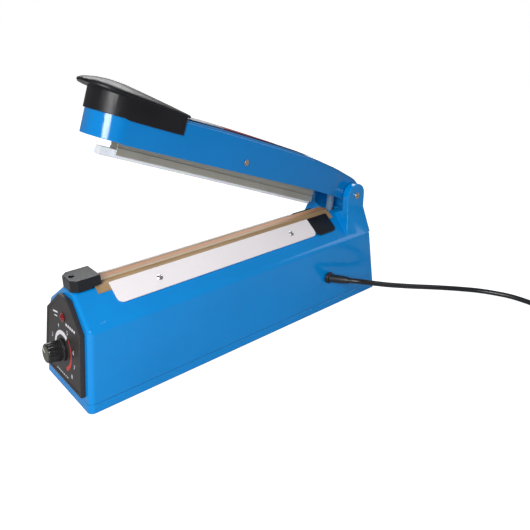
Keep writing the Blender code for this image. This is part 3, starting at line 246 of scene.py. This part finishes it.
# ---- mains cord --------------------------------------------------------------------------------------
# Round black PVC lead, 5 mm across. It leaves the sleeve in the body's side, sweeps down to the bench and
# runs to its coil of four and a half turns, three across and two high, and on to the plug.
CORD_DIAMETER = 0.0050
CORD_LEVEL = 0.0026
CORD_START = (0.10392, -0.05662, 0.03442)
CORD_RUN = [(0.10864, -0.0643, 0.0348), (0.11404, -0.0690, 0.0339), (0.12054, -0.0719, 0.0320),
            (0.12994, -0.0744, 0.0289), (0.14024, -0.0769, 0.0255), (0.15684, -0.0793, 0.0200),
            (0.17614, -0.0826, 0.0140), (0.19684, -0.0880, 0.0085), (0.21394, -0.0961, 0.0050),
            (0.22764, -0.1065, 0.0032), (0.23834, -0.1185, CORD_LEVEL), (0.24624, -0.1329, CORD_LEVEL),
            (0.25154, -0.1463, CORD_LEVEL), (0.25364, -0.1600, CORD_LEVEL), (0.25364, -0.1710, CORD_LEVEL),
            (0.25124, -0.1805, CORD_LEVEL)]
CORD_TAIL = [(0.31784, -0.2060, 0.0071), (0.32044, -0.1990, 0.0070), (0.32484, -0.1924, 0.0070),
             (0.33104, -0.1876, 0.0070), (0.33894, -0.1837, 0.0070)]
COIL_MIDDLE = (0.27544, -0.2170)
COIL_RADIUS = 0.0330
COIL_PITCH = 0.0051
COIL_START = math.radians(165)


def ease(value, start, end):
    """Smooth step from 0 at the start to 1 at the end."""
    share = min(1.0, max(0.0, (value - start) / (end - start)))
    return share * share * (3 - 2 * share)


def coil_points(turns, per_turn=16):
    """Turns side by side on the bench, from the outside in, then on top of them from the inside out.

    Every turn moves over by one cord in its second half, so that neighbours stay side by side, and the
    climb to the upper layer is in the first half of the third turn.
    """
    points = []
    for step in range(int(turns * per_turn) + 1):
        turn = step / per_turn
        inward = ease(turn, 0.5, 1.0) + ease(turn, 1.5, 2.0) - ease(turn, 2.5, 3.0) - ease(turn, 3.5, 4.0)
        radius = COIL_RADIUS + COIL_PITCH * (1 - inward)
        height = CORD_LEVEL + COIL_PITCH * ease(turn, 2.0, 2.5)
        angle = COIL_START + 2 * math.pi * turn
        points.append((COIL_MIDDLE[0] + radius * math.cos(angle), COIL_MIDDLE[1] + radius * math.sin(angle),
                       height))
    return points


def cord_curve(name, points, diameter):
    """A round cord through the points of its route."""
    curve = bpy.data.curves.new(name, "CURVE")
    curve.dimensions = "3D"
    curve.resolution_u = 6
    curve.bevel_depth = diameter / 2
    curve.bevel_resolution = 5
    curve.use_fill_caps = True
    spline = curve.splines.new("BEZIER")
    spline.bezier_points.add(len(points) - 1)
    for target, place in zip(spline.bezier_points, points):
        target.co = place
        target.handle_left_type = target.handle_right_type = "AUTO"
    made = bpy.data.objects.new(name, curve)
    SCENE.collection.objects.link(made)
    return made


cord = cord_curve("cord_lead", [CORD_START] + CORD_RUN + coil_points(4.5) + CORD_TAIL, CORD_DIAMETER)
cord_finish = surface("cord_sheath", (0.012, 0.013, 0.016), 0.30, mottle=(90.0, 0.15, 0.06),
                      edge_strength=0.0, grain=(900.0, 1.0), bump=0.00003)
cord.data.materials.append(cord_finish)
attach(cord, "base")
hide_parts("mains_cord", "cord_coil", "cord_tail")


SHARP_ANGLE = math.radians(32)


def soften_group():
    """Geometry nodes that join a solid's triangles and shade it smooth between its real edges."""
    group = bpy.data.node_groups.new("soften", "GeometryNodeTree")
    for direction in ("INPUT", "OUTPUT"):
        group.interface.new_socket("Geometry", in_out=direction, socket_type="NodeSocketGeometry")
    given, out = group.nodes.new("NodeGroupInput"), group.nodes.new("NodeGroupOutput")
    weld = node(group, "GeometryNodeMergeByDistance", Distance=1e-6)
    plain = node(group, "GeometryNodeRemoveAttribute", Name="custom_normal")
    round_faces = node(group, "GeometryNodeSetShadeSmooth", {"domain": "FACE"}, Shade_Smooth=True)
    angle = node(group, "GeometryNodeInputMeshEdgeAngle")
    is_edge = node(group, "FunctionNodeCompare", {"data_type": "FLOAT", "operation": "GREATER_THAN"})
    is_edge.inputs["B"].default_value = SHARP_ANGLE
    crisp = node(group, "GeometryNodeSetShadeSmooth", {"domain": "EDGE"}, Shade_Smooth=False)
    link = group.links.new
    for here, there in zip((given, weld, plain, round_faces, crisp), (weld, plain, round_faces, crisp, out)):
        link(here.outputs[0], there.inputs[0])
    link(angle.outputs["Unsigned Angle"], is_edge.inputs["A"])
    link(is_edge.outputs["Result"], crisp.inputs["Selection"])
    return group


SOFTEN = soften_group()


def dress(finish, *names):
    """Gives CAD nodes a material in place of their plain one, and shades their round faces smooth."""
    for name in names:
        piece = NODES[name]
        piece.data.materials.clear()
        piece.data.materials.append(finish)
        piece.modifiers.new("soften", "NODES").node_group = SOFTEN
        level = piece.modifiers.new("level_normals", "WEIGHTED_NORMAL")
        level.keep_sharp = True


plug_finish = surface("plug_vinyl", (0.016, 0.016, 0.018), 0.42, mottle=(50.0, 0.12, 0.06),
                      grain=(1100.0, 1.0), bump=0.00004)
dress(plug_finish, "mains_plug", "strain_relief")

# ---- painted body ------------------------------------------------------------------------------------
# One-piece metal shell under glossy blue enamel, which has a slight orange peel. A groove line runs round it
# just above the bench, and a lighter blue along its corners is a painted highlight.
PAINT = (0.0, 0.250, 0.68)
PEEL_SCALE, PEEL_DEPTH = 320.0, 0.00006
GROOVE_LEVEL, GROOVE_HALF, GROOVE_BLUR = 0.0078, 0.00025, 0.0005


def add_orange_peel(finish, scale, depth):
    """Adds low waves to a finish, on top of the bumps it has."""
    tree = finish.node_tree
    shader = tree.nodes["Principled BSDF"]
    before = shader.inputs["Normal"].links[0].from_socket
    place = node(tree, "ShaderNodeTexCoord")
    noise = node(tree, "ShaderNodeTexNoise", Scale=scale, Detail=1.0)
    relief = node(tree, "ShaderNodeBump", Strength=1.0, Distance=depth)
    tree.links.new(place.outputs["Object"], noise.inputs["Vector"])
    tree.links.new(noise.outputs["Fac"], relief.inputs["Height"])
    tree.links.new(before, relief.inputs["Normal"])
    tree.links.new(relief.outputs["Normal"], shader.inputs["Normal"])


def stripe(tree, axis, centre, half, blur):
    """Value that is 1 within a band across one object axis and falls to 0 over the blur."""
    place = node(tree, "ShaderNodeTexCoord")
    split = node(tree, "ShaderNodeSeparateXYZ")
    away = node(tree, "ShaderNodeMath", {"operation": "SUBTRACT"})
    away.inputs[1].default_value = centre
    size = node(tree, "ShaderNodeMath", {"operation": "ABSOLUTE"})
    band = node(tree, "ShaderNodeMapRange", From_Min=half, From_Max=half + blur, To_Min=1.0, To_Max=0.0)
    tree.links.new(place.outputs["Object"], split.inputs[0])
    tree.links.new(split.outputs[axis], away.inputs[0])
    tree.links.new(away.outputs[0], size.inputs[0])
    tree.links.new(size.outputs[0], band.inputs["Value"])
    return band.outputs["Result"]


body_paint = surface("blue_enamel", PAINT, 0.14, coat=0.25, mottle=(14.0, 0.05, 0.03), edge=(0.0012, 0.3),
                     edge_colour=(0.05, 0.42, 0.85), edge_strength=0.5, grain=(2600.0, 1.0), bump=0.000004,
                     Specular_IOR_Level=0.35)
add_orange_peel(body_paint, PEEL_SCALE, PEEL_DEPTH)
tree = body_paint.node_tree
groove = node(tree, "ShaderNodeBump", {"invert": True}, Strength=1.0, Distance=0.0004)
last = tree.nodes["Principled BSDF"].inputs["Normal"].links[0].from_socket
tree.links.new(stripe(tree, "Z", GROOVE_LEVEL, GROOVE_HALF, GROOVE_BLUR), groove.inputs["Height"])
tree.links.new(last, groove.inputs["Normal"])
tree.links.new(groove.outputs["Normal"], tree.nodes["Principled BSDF"].inputs["Normal"])
dress(body_paint, "body_shell")

# ---- arm ---------------------------------------------------------------------------------------------
# Pressed steel channel in the same enamel, open below, rounded at its nose. Its paint is set a shade deeper
# than the body's, and a lighter blue along its edges is a painted highlight.
arm_paint = surface("blue_enamel_arm", (0.0, 0.190, 0.54), 0.14, coat=0.25, mottle=(14.0, 0.05, 0.03),
                    edge=(0.0009, 0.3), edge_colour=(0.05, 0.38, 0.78), edge_strength=0.45,
                    grain=(2600.0, 1.0), bump=0.000004, Specular_IOR_Level=0.35)
add_orange_peel(arm_paint, PEEL_SCALE, PEEL_DEPTH)
dress(arm_paint, "arm_shell")

# ---- grip --------------------------------------------------------------------------------------------
# Satin black ABS moulding clipped over the arm's nose and held by two screws from below. Fine spark grain on
# its sides, and its edges are lightened, partly as rubbed wear and partly as painted highlight.
grip_plastic = surface("grip_abs", (0.010, 0.010, 0.012), 0.38, Specular_IOR_Level=0.28,
                       mottle=(35.0, 0.10, 0.07), edge=(0.0008, 0.4), edge_colour=(0.10, 0.10, 0.11),
                       edge_strength=0.4, grain=(1700.0, 1.0), bump=0.000035)
dress(grip_plastic, "handle")

# ---- black mouldings and rubber ----------------------------------------------------------------------
# End block, hinge pads and the micro switch's case are glass-filled nylon with a coarse grain, screwed or
# clipped to the shell. The feet are soft rubber pushed through the base plate.
moulded = surface("moulded_nylon", (0.009, 0.010, 0.013), 0.30, Specular_IOR_Level=0.40,
                  mottle=(60.0, 0.12, 0.06), edge=(0.0005, 0.4), edge_colour=(0.16, 0.17, 0.19),
                  edge_strength=0.5, grain=(2200.0, 1.0), bump=0.00005)
dress(moulded, "end_block", "hinge_pad_front", "hinge_pad_rear", "micro_switch")
foot_rubber = surface("foot_rubber", (0.014, 0.014, 0.014), 0.78, mottle=(80.0, 0.2, 0.05), edge_strength=0.2,
                      edge_colour=(0.05, 0.05, 0.05), grain=(1300.0, 1.0), bump=0.00006)
dress(foot_rubber, "rubber_foot_1", "rubber_foot_2", "rubber_foot_3", "rubber_foot_4")

# ---- clamp plates ------------------------------------------------------------------------------------
# White powder-coated steel strips, one down each shoulder of the body. Each is held by two cross-head screws
# and traps the edge of the cloth under it.
plate_white = surface("plate_white", (0.90, 0.855, 0.875), 0.25, coat=0.2, mottle=(20.0, 0.02, 0.05),
                      edge=(0.0004, 0.5), edge_colour=(0.60, 0.60, 0.62), edge_strength=0.5,
                      grain=(600.0, 0.15), bump=0.000015)
dress(plate_white, "clamp_plate_front", "clamp_plate_rear")

# ---- bright metal ------------------------------------------------------------------------------------
# Zinc-plated steel screws, rings, springs and brackets, a bare steel base plate, and turned brass pins. The
# rings are pushed on the pins' ends, and the base plate closes the body below.
zinc = surface("zinc_plate", (0.70, 0.70, 0.72), 0.27, metallic=1.0, mottle=(120.0, 0.08, 0.08),
               edge=(0.0002, 0.5), edge_colour=(0.9, 0.9, 0.92), edge_strength=0.4, grain=(1800.0, 1.0),
               bump=0.00001)
dress(zinc, "base_screw_1", "base_screw_2", "base_screw_3", "base_screw_4", "clamp_screw_1", "clamp_screw_2",
      "clamp_screw_3", "clamp_screw_4", "end_block_screw", "handle_screw_1", "handle_screw_2",
      "hinge_ring_front", "hinge_ring_rear", "bar_ring_front", "bar_ring_rear", "rod_pin", "return_spring",
      "bar_spring_1", "bar_spring_2", "switch_bracket", "switch_lever", "transformer_strap", "potentiometer")
base_steel = surface("base_steel", (0.45, 0.45, 0.46), 0.38, metallic=1.0, mottle=(25.0, 0.10, 0.10),
                     edge_colour=(0.8, 0.8, 0.8), grain=(500.0, 0.06), bump=0.00002)
dress(base_steel, "base_plate")
brass = surface("turned_brass", (0.66, 0.52, 0.32), 0.28, metallic=1.0, mottle=(150.0, 0.10, 0.08),
                edge=(0.0002, 0.5), edge_colour=(0.9, 0.75, 0.5), grain=(1500.0, 1.0), bump=0.00001)
dress(brass, "hinge_pin", "bar_pivot_pin", "knob_shaft", "plug_pin_1", "plug_pin_2")

# ---- press bar and silicone --------------------------------------------------------------------------
# Anodised aluminium extrusion with draw lines along it, hung from the arm on a pin. The milky silicone strip
# is pressed into its groove and bears on the cloth when the arm is shut.
extrusion = surface("bar_extrusion", (0.66, 0.64, 0.56), 0.36, metallic=0.9, mottle=(40.0, 0.06, 0.08),
                    edge=(0.0003, 0.4), edge_colour=(0.85, 0.84, 0.78), grain=(1400.0, 0.01), bump=0.00003)
dress(extrusion, "press_bar")
silicone = surface("silicone_rubber", (0.80, 0.82, 0.88), 0.38, mottle=(60.0, 0.03, 0.05), edge_strength=0.0,
                   grain=(500.0, 0.05), bump=0.00003, Subsurface_Weight=0.35, Subsurface_Scale=0.002)
dress(silicone, "silicone_strip")

# ---- push rod ----------------------------------------------------------------------------------------
# Clear bluish nylon rod, moulded, between the arm and the switch inside the body. It hangs on a cross pin in
# the arm and slides through the top of the body.
nylon = surface("rod_nylon", (0.22, 0.36, 0.52), 0.22, mottle=(80.0, 0.08, 0.05), edge_strength=0.3,
                grain=(900.0, 1.0), bump=0.00002, Transmission_Weight=0.35, IOR=1.53)
dress(nylon, "push_rod")

# ---- cloth and heating strip -------------------------------------------------------------------------
# Brown PTFE-coated glass cloth, woven, over the insulating strip. The flat heating wire shows through it as a
# coppery line along the middle.
WIRE_HALF, WIRE_BLUR = 0.0009, 0.0008
WEAVE_SCALE = 260.0
cloth = surface("ptfe_glass_cloth", (0.36, 0.235, 0.115), 0.42, mottle=(45.0, 0.10, 0.06), edge_strength=0.2,
                grain=(300.0, 0.1), bump=0.00002, Specular_IOR_Level=0.6)
tree = cloth.node_tree
shader = tree.nodes["Principled BSDF"]
warp = node(tree, "ShaderNodeTexWave", {"bands_direction": "X"}, Scale=WEAVE_SCALE, Distortion=0.3)
weft = node(tree, "ShaderNodeTexWave", {"bands_direction": "Y"}, Scale=WEAVE_SCALE, Distortion=0.3)
place = node(tree, "ShaderNodeTexCoord")
both = node(tree, "ShaderNodeMath", {"operation": "MAXIMUM"})
weave = node(tree, "ShaderNodeBump", Strength=0.6, Distance=0.00005)
tree.links.new(place.outputs["Object"], warp.inputs["Vector"])
tree.links.new(place.outputs["Object"], weft.inputs["Vector"])
tree.links.new(warp.outputs["Fac"], both.inputs[0])
tree.links.new(weft.outputs["Fac"], both.inputs[1])
tree.links.new(both.outputs[0], weave.inputs["Height"])
tree.links.new(shader.inputs["Normal"].links[0].from_socket, weave.inputs["Normal"])
tree.links.new(weave.outputs["Normal"], shader.inputs["Normal"])
line_mix = node(tree, "ShaderNodeMix", {"data_type": "RGBA"})
line_mix.inputs["B"].default_value = (0.60, 0.20, 0.08, 1.0)
tree.links.new(shader.inputs["Base Color"].links[0].from_socket, line_mix.inputs["A"])
tree.links.new(stripe(tree, "Y", 0.0, WIRE_HALF, WIRE_BLUR), line_mix.inputs["Factor"])
tree.links.new(line_mix.outputs["Result"], shader.inputs["Base Color"])
dress(cloth, "ptfe_cloth")
bakelite = surface("insulating_strip", (0.05, 0.03, 0.02), 0.55, grain=(400.0, 0.1), bump=0.00004)
dress(bakelite, "heater_strip")
nichrome = surface("nichrome_ribbon", (0.55, 0.36, 0.25), 0.35, metallic=1.0, mottle=(90.0, 0.25, 0.1),
                   grain=(1500.0, 0.02), bump=0.00001)
dress(nichrome, "heating_wire")

# ---- electrics ---------------------------------------------------------------------------------------
# Transformer with a varnished laminated core and a copper winding, strapped to the base plate, and a green
# timer board on its edge behind the panel. The shell hides them.
core = surface("core_laminate", (0.09, 0.09, 0.10), 0.5, metallic=0.8, mottle=(70.0, 0.2, 0.1),
               grain=(900.0, 0.02), bump=0.0001)
dress(core, "transformer_core")
winding = surface("winding_copper", (0.45, 0.18, 0.08), 0.35, metallic=0.6, mottle=(70.0, 0.15, 0.1),
                  grain=(1200.0, 0.02), bump=0.0001)
dress(winding, "transformer_coil")
laminate = surface("board_green", (0.02, 0.13, 0.06), 0.45, mottle=(40.0, 0.1, 0.05), grain=(800.0, 1.0),
                   bump=0.00003)
dress(laminate, "timer_board")

# ---- control panel -----------------------------------------------------------------------------------
# Dark grey-brown styrene plate with a raised rim, printed in white and red. The print is 0.06 mm proud: two
# timer arcs, numerals and plain bars. panel_place turns panel coordinates, x right and y up, into the frame.
PANEL_LEAN = math.atan2(0.0090, 0.0641)
PANEL_FACE = 0.0037
PANEL_X, PANEL_Z = -0.148365, 0.037
panel_place = Matrix(((0, math.sin(PANEL_LEAN), -math.cos(PANEL_LEAN), PANEL_X),
                      (-1, 0, 0, 0),
                      (0, math.cos(PANEL_LEAN), math.sin(PANEL_LEAN), PANEL_Z),
                      (0, 0, 0, 1)))
# The lighter edge colour along the plate's rim and edges is a painted highlight.
panel_plastic = surface("panel_styrene", (0.030, 0.026, 0.025), 0.45, mottle=(40.0, 0.10, 0.06),
                        edge=(0.0005, 0.3), edge_colour=(0.14, 0.13, 0.12), edge_strength=0.6,
                        grain=(2000.0, 1.0), bump=0.00005)
dress(panel_plastic, "control_panel")
PRINT_LOW, PRINT_MIDDLE, PRINT_HIGH = PANEL_FACE + 0.00002, PANEL_FACE + 0.00004, PANEL_FACE + 0.00006
NUMERAL_SIZE = 0.0048


def slab_into(mesh, corners, low, high):
    """Adds a flat slab with these panel corners to a bmesh, between two heights above the panel's back."""
    lower = [mesh.verts.new(panel_place @ Vector((x, y, low))) for x, y in corners]
    upper = [mesh.verts.new(panel_place @ Vector((x, y, high))) for x, y in corners]
    mesh.faces.new(lower)
    mesh.faces.new(upper)
    for step in range(len(corners)):
        after = (step + 1) % len(corners)
        mesh.faces.new([lower[step], lower[after], upper[after], upper[step]])


def arc_band(mesh, radius, width_from, width_to, start, end, steps=24):
    """A curved band on the panel whose width changes along it, angles in degrees."""
    outer, inner = [], []
    for step in range(steps + 1):
        share = step / steps
        angle = math.radians(start + (end - start) * share)
        half = (width_from + (width_to - width_from) * share) / 2
        outer.append(((radius + half) * math.cos(angle), (radius + half) * math.sin(angle)))
        inner.append(((radius - half) * math.cos(angle), (radius - half) * math.sin(angle)))
    slab_into(mesh, outer + inner[::-1], PRINT_LOW, PRINT_HIGH)


def bar(mesh, x, y, length, height, turn=0.0):
    """A printed bar centred at panel coordinates and turned by some degrees."""
    spin = math.radians(turn)
    corners = []
    for u, v in ((-1, -1), (1, -1), (1, 1), (-1, 1)):
        a, b = u * length / 2, v * height / 2
        corners.append((x + a * math.cos(spin) - b * math.sin(spin),
                        y + a * math.sin(spin) + b * math.cos(spin)))
    slab_into(mesh, corners, PRINT_LOW, PRINT_HIGH)


def print_mesh(name, build):
    """A mesh that one of the print functions fills."""
    shape = bmesh.new()
    build(shape)
    bmesh.ops.recalc_face_normals(shape, faces=shape.faces)
    mesh = bpy.data.meshes.new(name)
    shape.to_mesh(mesh)
    shape.free()
    return mesh


def numeral_into(mesh, text, x, y, size):
    """Adds one raised dial numeral, centred at panel coordinates."""
    curve = bpy.data.curves.new("numeral", "FONT")
    curve.body = text
    curve.size = size
    curve.align_x = "CENTER"
    curve.align_y = "CENTER"
    curve.extrude = 0.00002
    made = bpy.data.objects.new("numeral", curve)
    SCENE.collection.objects.link(made)
    made.matrix_world = panel_place @ Matrix.Translation((x, y, PRINT_MIDDLE))
    bpy.context.view_layer.update()
    outline = bpy.data.meshes.new_from_object(made.evaluated_get(bpy.context.evaluated_depsgraph_get()))
    outline.transform(made.matrix_world)
    mesh.from_mesh(outline)
    bpy.data.objects.remove(made)
    bpy.data.meshes.remove(outline)


NUMERALS = (("3", -0.0190, 0.0045), ("4", -0.0078, 0.0168), ("5", 0.0078, 0.0170), ("6", 0.0186, 0.0058),
            ("7", 0.0205, -0.0055), ("8", 0.0165, -0.0150))


def white_print(mesh):
    """The left timer arc, the numerals round the dial, and the bars beside the lamp and under the knob."""
    arc_band(mesh, 0.0134, 0.0022, 0.0040, 196, 60)
    for text, x, y in NUMERALS:
        numeral_into(mesh, text, x, y, NUMERAL_SIZE)
    bar(mesh, -0.0135, 0.0262, 0.0085, 0.0014, 12)
    bar(mesh, -0.0125, 0.0232, 0.0060, 0.0010, 12)
    for step in range(5):
        bar(mesh, 0.0062 + 0.0034 * step, 0.0232, 0.0022, 0.0022)
    for step in range(7):
        bar(mesh, -0.0090 + 0.0030 * step, -0.0195, 0.0018, 0.0010)


def red_print(mesh):
    """The right timer arc, which widens along the dial."""
    arc_band(mesh, 0.0150, 0.0012, 0.0034, 52, -62)


def add_piece(name, mesh, finish, body):
    """Adds a thin piece of its own, riding a body, with the material slot that it belongs to."""
    mesh.materials.append(finish)
    made = bpy.data.objects.new(name, mesh)
    SCENE.collection.objects.link(made)
    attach(made, body)


white_ink = surface("white_ink", (0.80, 0.80, 0.84), 0.45, mottle=(400.0, 0.06, 0.05), edge_strength=0.0)
red_ink = surface("red_ink", (0.50, 0.035, 0.03), 0.45, mottle=(400.0, 0.10, 0.05), edge_strength=0.0)
add_piece("panel_print_white", print_mesh("panel_print_white", white_print), white_ink, "base")
add_piece("panel_print_red", print_mesh("panel_print_red", red_print), red_ink, "base")

# ---- lamp --------------------------------------------------------------------------------------------
# Clear red moulded lens of the neon lamp. It is pressed into its hole in the panel and shows that the wire is
# being heated.
lens = surface("red_lens_clear", (0.36, 0.008, 0.014), 0.10, mottle=(60.0, 0.05, 0.02), edge_strength=0.0,
               bump=0.000002, Transmission_Weight=0.5, IOR=1.49, coat=0.5)
dress(lens, "indicator_lamp")

# ---- timer knob --------------------------------------------------------------------------------------
# Fluted black phenolic knob, pushed on the shaft of the timer's potentiometer. A thin olive disc is pressed
# into its end, with a white pointer across it.
knob_plastic = surface("knob_phenolic", (0.010, 0.010, 0.011), 0.24, mottle=(60.0, 0.10, 0.06),
                       edge=(0.0003, 0.3), edge_colour=(0.20, 0.20, 0.21), edge_strength=0.5,
                       grain=(1500.0, 1.0), bump=0.00002)
dress(knob_plastic, "timer_knob")
KNOB_LENGTH = 0.0130
KNOB_TOP = PANEL_FACE + KNOB_LENGTH
DISC_SUNK, DISC_PROUD = 0.0001, 0.0002
POINTER_BACK, POINTER_FRONT = 0.00022, 0.00032
POINTER_ANGLE = math.radians(150)
POINTER_INNER, POINTER_OUTER, POINTER_HALF = 0.0010, 0.0062, 0.0005
DISC_RADIUS, DISC_SIDES = 0.0059, 48


def pointer(mesh):
    """White line from near the middle of the knob's end to its rim."""
    turn = Matrix.Rotation(POINTER_ANGLE, 2)
    corners = [turn @ Vector(corner) for corner in ((POINTER_INNER, -POINTER_HALF),
                                                    (POINTER_OUTER, -POINTER_HALF),
                                                    (POINTER_OUTER, POINTER_HALF),
                                                    (POINTER_INNER, POINTER_HALF))]
    slab_into(mesh, corners, KNOB_TOP + POINTER_BACK, KNOB_TOP + POINTER_FRONT)


def knob_disc(mesh):
    """Thin round disc set in the knob's end."""
    turns = [2 * math.pi * step / DISC_SIDES for step in range(DISC_SIDES)]
    rim = [(DISC_RADIUS * math.cos(turn), DISC_RADIUS * math.sin(turn)) for turn in turns]
    slab_into(mesh, rim, KNOB_TOP - DISC_SUNK, KNOB_TOP + DISC_PROUD)


disc_finish = surface("knob_disc", (0.085, 0.085, 0.055), 0.45, mottle=(200.0, 0.15, 0.08), edge_strength=0.0,
                      grain=(1500.0, 1.0), bump=0.00002)
add_piece("knob_end_disc", print_mesh("knob_end_disc", knob_disc), disc_finish, "timer_knob")
add_piece("knob_pointer", print_mesh("knob_pointer", pointer), white_ink, "timer_knob")

# ---- arm label ---------------------------------------------------------------------------------------
# Thin aluminium strip glued along the arm's crown. It is brushed along its length and printed with a red
# field in its middle.
RED_MIDDLE, RED_HALF, RED_BLUR = 0.0200, 0.0260, 0.0008
label = surface("label_foil", (0.62, 0.63, 0.66), 0.30, metallic=0.7, mottle=(30.0, 0.05, 0.06),
                edge_strength=0.0, grain=(1500.0, 0.02), bump=0.000008)
tree = label.node_tree
shader = tree.nodes["Principled BSDF"]
field = node(tree, "ShaderNodeMix", {"data_type": "RGBA"})
field.inputs["B"].default_value = (0.45, 0.05, 0.05, 1.0)
tree.links.new(shader.inputs["Base Color"].links[0].from_socket, field.inputs["A"])
tree.links.new(stripe(tree, "X", RED_MIDDLE, RED_HALF, RED_BLUR), field.inputs["Factor"])
tree.links.new(field.outputs["Result"], shader.inputs["Base Color"])
dress(label, "label_plate")
